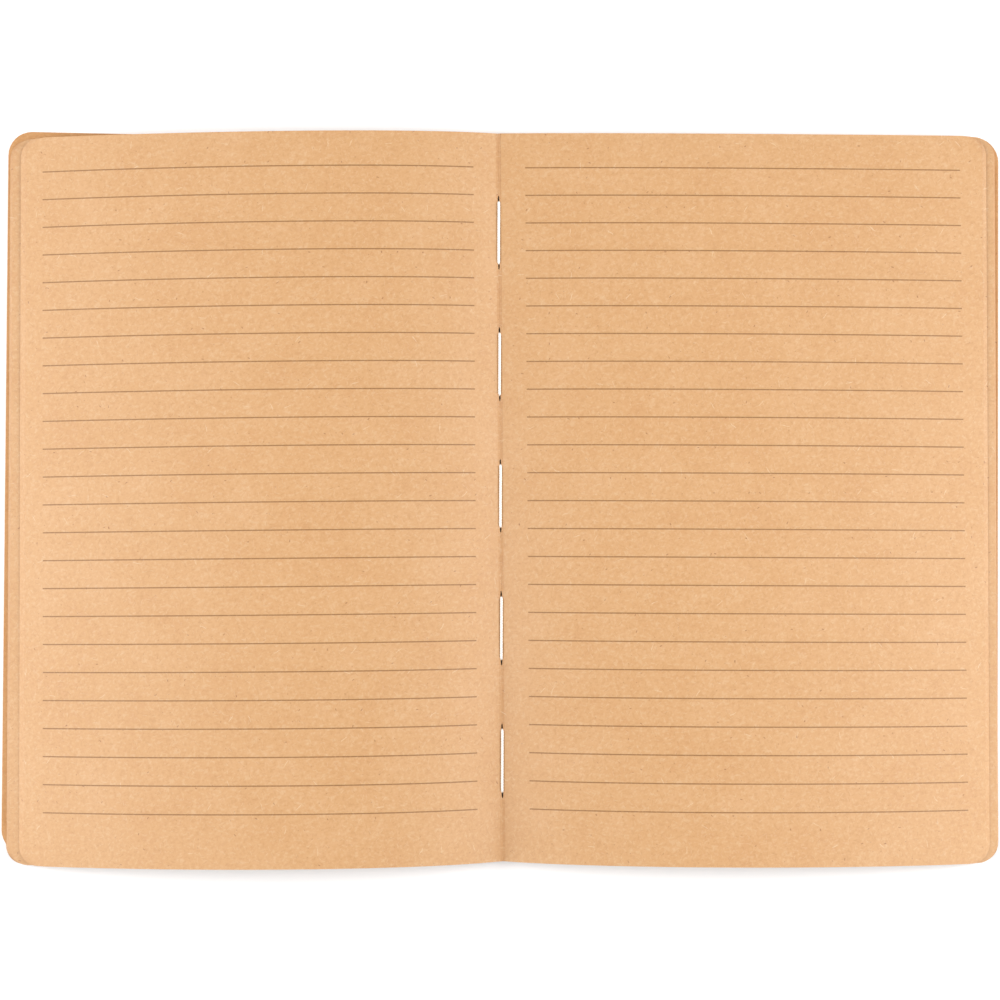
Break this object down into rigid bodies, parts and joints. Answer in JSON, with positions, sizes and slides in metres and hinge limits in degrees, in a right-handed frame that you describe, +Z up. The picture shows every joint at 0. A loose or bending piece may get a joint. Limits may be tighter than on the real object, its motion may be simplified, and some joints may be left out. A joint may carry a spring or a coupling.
{
  "type": "pocket_notebook",
  "caption": "Pocket notebook lying open at its middle spread: ruled kraft-paper leaves with rounded corners, nested in a kraft card cover and sewn through the fold with white thread",
  "frame": {"origin": "on the table, under the middle of the spine", "axes": "+X across the spread to the reader's right, +Y up the page, +Z up from the table"},
  "size_m": [0.193, 0.14, 0.0099],
  "materials": {
    "kraft_paper": "matt uncoated recycled kraft paper, ruled on both faces",
    "kraft_card": "matt uncoated kraft card",
    "white_thread": "twisted white bookbinding thread"
  },
  "bodies": {
    "spine": {"cover_spine": "kraft_card", "sewing_thread": "white_thread", "sheet_fold_01": "kraft_paper", "sheet_fold_02": "kraft_paper", "sheet_fold_03": "kraft_paper", "sheet_fold_04": "kraft_paper", "sheet_fold_05": "kraft_paper", "sheet_fold_06": "kraft_paper", "sheet_fold_07": "kraft_paper", "sheet_fold_08": "kraft_paper", "sheet_fold_09": "kraft_paper", "sheet_fold_10": "kraft_paper", "sheet_fold_11": "kraft_paper", "sheet_fold_12": "kraft_paper"},
    "front_cover": {"front_cover": "kraft_card"},
    "left_leaf_01": {"left_leaf_01": "kraft_paper"},
    "left_leaf_02": {"left_leaf_02": "kraft_paper"},
    "left_leaf_03": {"left_leaf_03": "kraft_paper"},
    "left_leaf_04": {"left_leaf_04": "kraft_paper"},
    "left_leaf_05": {"left_leaf_05": "kraft_paper"},
    "left_leaf_06": {"left_leaf_06": "kraft_paper"},
    "left_leaf_07": {"left_leaf_07": "kraft_paper"},
    "left_leaf_08": {"left_leaf_08": "kraft_paper"},
    "left_leaf_09": {"left_leaf_09": "kraft_paper"},
    "left_leaf_10": {"left_leaf_10": "kraft_paper"},
    "left_leaf_11": {"left_leaf_11": "kraft_paper"},
    "left_leaf_12": {"left_leaf_12": "kraft_paper"},
    "back_cover": {"back_cover": "kraft_card"},
    "right_leaf_01": {"right_leaf_01": "kraft_paper"},
    "right_leaf_02": {"right_leaf_02": "kraft_paper"},
    "right_leaf_03": {"right_leaf_03": "kraft_paper"},
    "right_leaf_04": {"right_leaf_04": "kraft_paper"},
    "right_leaf_05": {"right_leaf_05": "kraft_paper"},
    "right_leaf_06": {"right_leaf_06": "kraft_paper"},
    "right_leaf_07": {"right_leaf_07": "kraft_paper"},
    "right_leaf_08": {"right_leaf_08": "kraft_paper"},
    "right_leaf_09": {"right_leaf_09": "kraft_paper"},
    "right_leaf_10": {"right_leaf_10": "kraft_paper"},
    "right_leaf_11": {"right_leaf_11": "kraft_paper"},
    "right_leaf_12": {"right_leaf_12": "kraft_paper"}
  },
  "joints": [
    {"name": "front_cover_fold", "type": "hinge", "parent": "spine", "child": "front_cover", "pos_m": [-0.00256, 0, 0.00108], "axis": [0, 1, 0], "range_deg": [0, 90]},
    {"name": "left_leaf_01_fold", "type": "hinge", "parent": "spine", "child": "left_leaf_01", "pos_m": [-0.0005, 0, 0.00311], "axis": [0, 1, 0], "range_deg": [0, 91], "deforming": ["left_leaf_01"]},
    {"name": "left_leaf_02_fold", "type": "hinge", "parent": "spine", "child": "left_leaf_02", "pos_m": [-0.00066, 0, 0.00295], "axis": [0, 1, 0], "range_deg": [0, 91]},
    {"name": "left_leaf_03_fold", "type": "hinge", "parent": "spine", "child": "left_leaf_03", "pos_m": [-0.00082, 0, 0.00279], "axis": [0, 1, 0], "range_deg": [0, 91]},
    {"name": "left_leaf_04_fold", "type": "hinge", "parent": "spine", "child": "left_leaf_04", "pos_m": [-0.00098, 0, 0.00263], "axis": [0, 1, 0], "range_deg": [0, 91]},
    {"name": "left_leaf_05_fold", "type": "hinge", "parent": "spine", "child": "left_leaf_05", "pos_m": [-0.00114, 0, 0.00247], "axis": [0, 1, 0], "range_deg": [0, 91]},
    {"name": "left_leaf_06_fold", "type": "hinge", "parent": "spine", "child": "left_leaf_06", "pos_m": [-0.0013, 0, 0.00231], "axis": [0, 1, 0], "range_deg": [0, 91]},
    {"name": "left_leaf_07_fold", "type": "hinge", "parent": "spine", "child": "left_leaf_07", "pos_m": [-0.00146, 0, 0.00215], "axis": [0, 1, 0], "range_deg": [0, 91]},
    {"name": "left_leaf_08_fold", "type": "hinge", "parent": "spine", "child": "left_leaf_08", "pos_m": [-0.00162, 0, 0.00199], "axis": [0, 1, 0], "range_deg": [0, 91]},
    {"name": "left_leaf_09_fold", "type": "hinge", "parent": "spine", "child": "left_leaf_09", "pos_m": [-0.00178, 0, 0.00183], "axis": [0, 1, 0], "range_deg": [0, 91]},
    {"name": "left_leaf_10_fold", "type": "hinge", "parent": "spine", "child": "left_leaf_10", "pos_m": [-0.00194, 0, 0.00167], "axis": [0, 1, 0], "range_deg": [0, 91]},
    {"name": "left_leaf_11_fold", "type": "hinge", "parent": "spine", "child": "left_leaf_11", "pos_m": [-0.0021, 0, 0.00151], "axis": [0, 1, 0], "range_deg": [0, 91]},
    {"name": "left_leaf_12_fold", "type": "hinge", "parent": "spine", "child": "left_leaf_12", "pos_m": [-0.00226, 0, 0.00135], "axis": [0, 1, 0], "range_deg": [0, 91]},
    {"name": "back_cover_fold", "type": "hinge", "parent": "spine", "child": "back_cover", "pos_m": [0.00256, 0, 0.00108], "axis": [0, -1, 0], "range_deg": [0, 90]},
    {"name": "page_turn", "type": "hinge", "parent": "right_leaf_02", "child": "right_leaf_01", "pos_m": [0.0005, 0, 0.00311], "axis": [0, 1, 0], "range_deg": [-135, 0], "deforming": ["right_leaf_01"]},
    {"name": "right_leaf_02_fold", "type": "hinge", "parent": "spine", "child": "right_leaf_02", "pos_m": [0.00066, 0, 0.00295], "axis": [0, -1, 0], "range_deg": [0, 91]},
    {"name": "right_leaf_03_fold", "type": "hinge", "parent": "spine", "child": "right_leaf_03", "pos_m": [0.00082, 0, 0.00279], "axis": [0, -1, 0], "range_deg": [0, 91]},
    {"name": "right_leaf_04_fold", "type": "hinge", "parent": "spine", "child": "right_leaf_04", "pos_m": [0.00098, 0, 0.00263], "axis": [0, -1, 0], "range_deg": [0, 91]},
    {"name": "right_leaf_05_fold", "type": "hinge", "parent": "spine", "child": "right_leaf_05", "pos_m": [0.00114, 0, 0.00247], "axis": [0, -1, 0], "range_deg": [0, 91]},
    {"name": "right_leaf_06_fold", "type": "hinge", "parent": "spine", "child": "right_leaf_06", "pos_m": [0.0013, 0, 0.00231], "axis": [0, -1, 0], "range_deg": [0, 91]},
    {"name": "right_leaf_07_fold", "type": "hinge", "parent": "spine", "child": "right_leaf_07", "pos_m": [0.00146, 0, 0.00215], "axis": [0, -1, 0], "range_deg": [0, 91]},
    {"name": "right_leaf_08_fold", "type": "hinge", "parent": "spine", "child": "right_leaf_08", "pos_m": [0.00162, 0, 0.00199], "axis": [0, -1, 0], "range_deg": [0, 91]},
    {"name": "right_leaf_09_fold", "type": "hinge", "parent": "spine", "child": "right_leaf_09", "pos_m": [0.00178, 0, 0.00183], "axis": [0, -1, 0], "range_deg": [0, 91]},
    {"name": "right_leaf_10_fold", "type": "hinge", "parent": "spine", "child": "right_leaf_10", "pos_m": [0.00194, 0, 0.00167], "axis": [0, -1, 0], "range_deg": [0, 91]},
    {"name": "right_leaf_11_fold", "type": "hinge", "parent": "spine", "child": "right_leaf_11", "pos_m": [0.0021, 0, 0.00151], "axis": [0, -1, 0], "range_deg": [0, 91]},
    {"name": "right_leaf_12_fold", "type": "hinge", "parent": "spine", "child": "right_leaf_12", "pos_m": [0.00226, 0, 0.00135], "axis": [0, -1, 0], "range_deg": [0, 91]}
  ],
  "couplings": [
    {"joint": "left_leaf_01_fold", "follows": "front_cover_fold", "ratio": 1.0059},
    {"joint": "left_leaf_02_fold", "follows": "front_cover_fold", "ratio": 1.0059},
    {"joint": "left_leaf_03_fold", "follows": "front_cover_fold", "ratio": 1.0059},
    {"joint": "left_leaf_04_fold", "follows": "front_cover_fold", "ratio": 1.0059},
    {"joint": "left_leaf_05_fold", "follows": "front_cover_fold", "ratio": 1.0058},
    {"joint": "left_leaf_06_fold", "follows": "front_cover_fold", "ratio": 1.0058},
    {"joint": "left_leaf_07_fold", "follows": "front_cover_fold", "ratio": 1.0058},
    {"joint": "left_leaf_08_fold", "follows": "front_cover_fold", "ratio": 1.0058},
    {"joint": "left_leaf_09_fold", "follows": "front_cover_fold", "ratio": 1.0058},
    {"joint": "left_leaf_10_fold", "follows": "front_cover_fold", "ratio": 1.0058},
    {"joint": "left_leaf_11_fold", "follows": "front_cover_fold", "ratio": 1.0058},
    {"joint": "left_leaf_12_fold", "follows": "front_cover_fold", "ratio": 1.0058},
    {"joint": "right_leaf_02_fold", "follows": "back_cover_fold", "ratio": 1.0059},
    {"joint": "right_leaf_03_fold", "follows": "back_cover_fold", "ratio": 1.0059},
    {"joint": "right_leaf_04_fold", "follows": "back_cover_fold", "ratio": 1.0059},
    {"joint": "right_leaf_05_fold", "follows": "back_cover_fold", "ratio": 1.0058},
    {"joint": "right_leaf_06_fold", "follows": "back_cover_fold", "ratio": 1.0058},
    {"joint": "right_leaf_07_fold", "follows": "back_cover_fold", "ratio": 1.0058},
    {"joint": "right_leaf_08_fold", "follows": "back_cover_fold", "ratio": 1.0058},
    {"joint": "right_leaf_09_fold", "follows": "back_cover_fold", "ratio": 1.0058},
    {"joint": "right_leaf_10_fold", "follows": "back_cover_fold", "ratio": 1.0058},
    {"joint": "right_leaf_11_fold", "follows": "back_cover_fold", "ratio": 1.0058},
    {"joint": "right_leaf_12_fold", "follows": "back_cover_fold", "ratio": 1.0058}
  ]
}
